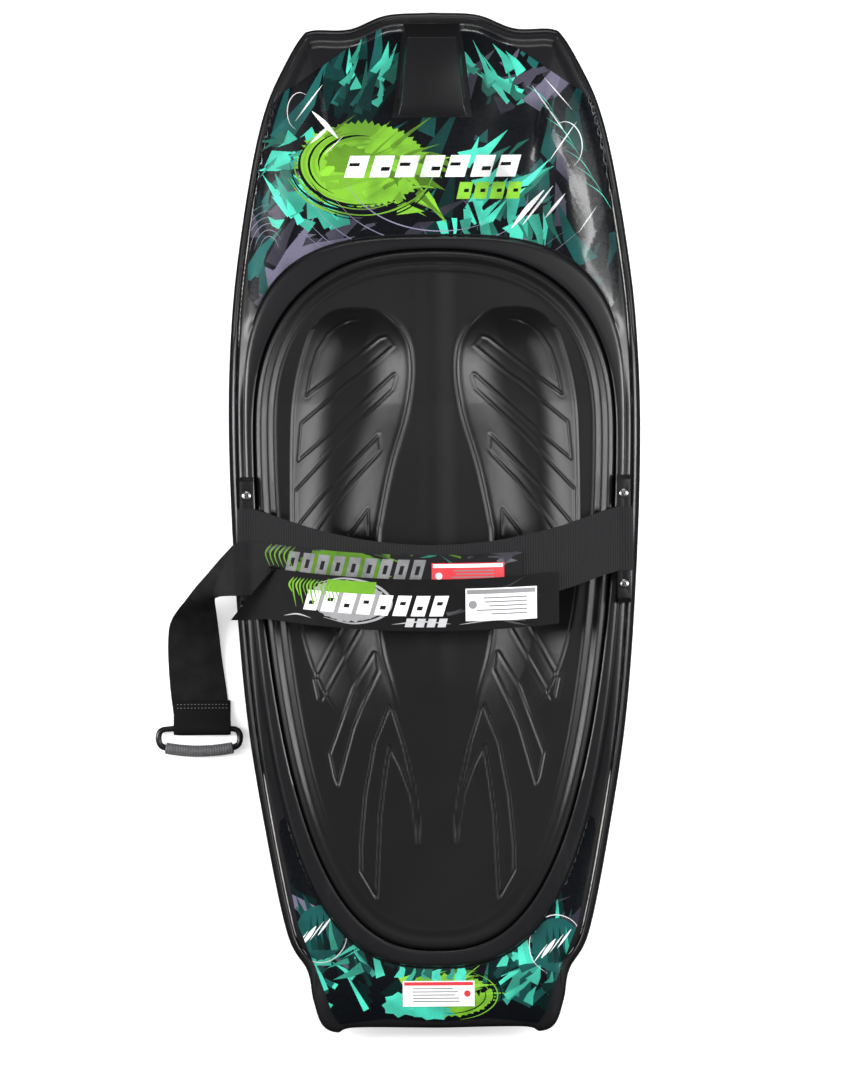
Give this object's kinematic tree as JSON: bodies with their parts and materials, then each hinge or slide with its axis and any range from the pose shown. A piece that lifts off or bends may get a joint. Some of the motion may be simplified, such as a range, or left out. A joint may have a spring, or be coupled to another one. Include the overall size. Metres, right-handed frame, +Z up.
{
  "type": "kneeboard",
  "caption": "Towed kneeboard with a moulded shell, recessed foam knee pad, nose tow hook and a thigh strap whose loose end carries a pull handle.",
  "frame": {"origin": "middle of the hull's flat bottom, the face the board rests on", "axes": "+X to the rider's right, +Y towards the nose, +Z up out of the deck"},
  "size_m": [0.6149, 1.28, 0.1653],
  "materials": {
    "shell_black": "satin moulded polyethylene",
    "core_foam": "closed-cell foam",
    "pad_foam": "matte moulded EVA foam",
    "printed_film": "glossy printed film",
    "label_white": "printed label",
    "label_red": "printed label",
    "hook_black": "satin moulded nylon",
    "steel": "polished stainless",
    "brass": "machined",
    "webbing": "charcoal woven webbing",
    "hook_and_loop": "napped hook-and-loop tape",
    "band_black": "black neoprene-backed band",
    "handle_black": "satin moulded nylon",
    "grip_grey": "soft grip sleeve"
  },
  "bodies": {
    "board": {"hull_shell": "shell_black", "deck_shell": "shell_black", "foam_core": "core_foam", "knee_pad": "pad_foam", "nose_graphic": "printed_film", "tail_graphic": "printed_film", "tail_label": "label_white", "tow_hook": "hook_black", "tow_hook_bolt_front": "steel", "tow_hook_bolt_rear": "steel", "base_strap": "webbing", "anchor_bar_left": "hook_black", "anchor_screw_left_front": "steel", "anchor_insert_left_front": "brass", "anchor_screw_left_rear": "steel", "anchor_insert_left_rear": "brass", "anchor_bar_right": "hook_black", "anchor_screw_right_front": "steel", "anchor_insert_right_front": "brass", "anchor_screw_right_rear": "steel", "anchor_insert_right_rear": "brass"},
    "strap_pull": {"pull_strap": "webbing", "loop_patch": "hook_and_loop", "strap_label": "label_red"},
    "strap_closure": {"closure_band": "band_black", "hook_patch": "hook_and_loop", "closure_label": "label_white"},
    "strap_end": {"strap_tail": "webbing", "tail_cuff": "band_black"},
    "handle": {"handle_frame": "handle_black", "handle_grip": "grip_grey"}
  },
  "joints": [
    {"name": "strap_pull_peel", "type": "hinge", "parent": "board", "child": "strap_pull", "pos_m": [0.153, -0.084, 0.1305], "axis": [0, 1, 0], "range_deg": [0, 70]},
    {"name": "closure_peel", "type": "hinge", "parent": "strap_pull", "child": "strap_closure", "pos_m": [0.153, -0.084, 0.135], "axis": [0, 1, 0], "range_deg": [0, 35]},
    {"name": "strap_end_lift", "type": "hinge", "parent": "strap_pull", "child": "strap_end", "pos_m": [-0.25025, -0.0566, 0.0998], "axis": [0, 1, 0], "range_deg": [0, 90]},
    {"name": "handle_swing", "type": "hinge", "parent": "strap_end", "child": "handle", "pos_m": [-0.30025, -0.2567, 0.0077], "axis": [-1, 0, 0], "range_deg": [0, 120]}
  ]
}
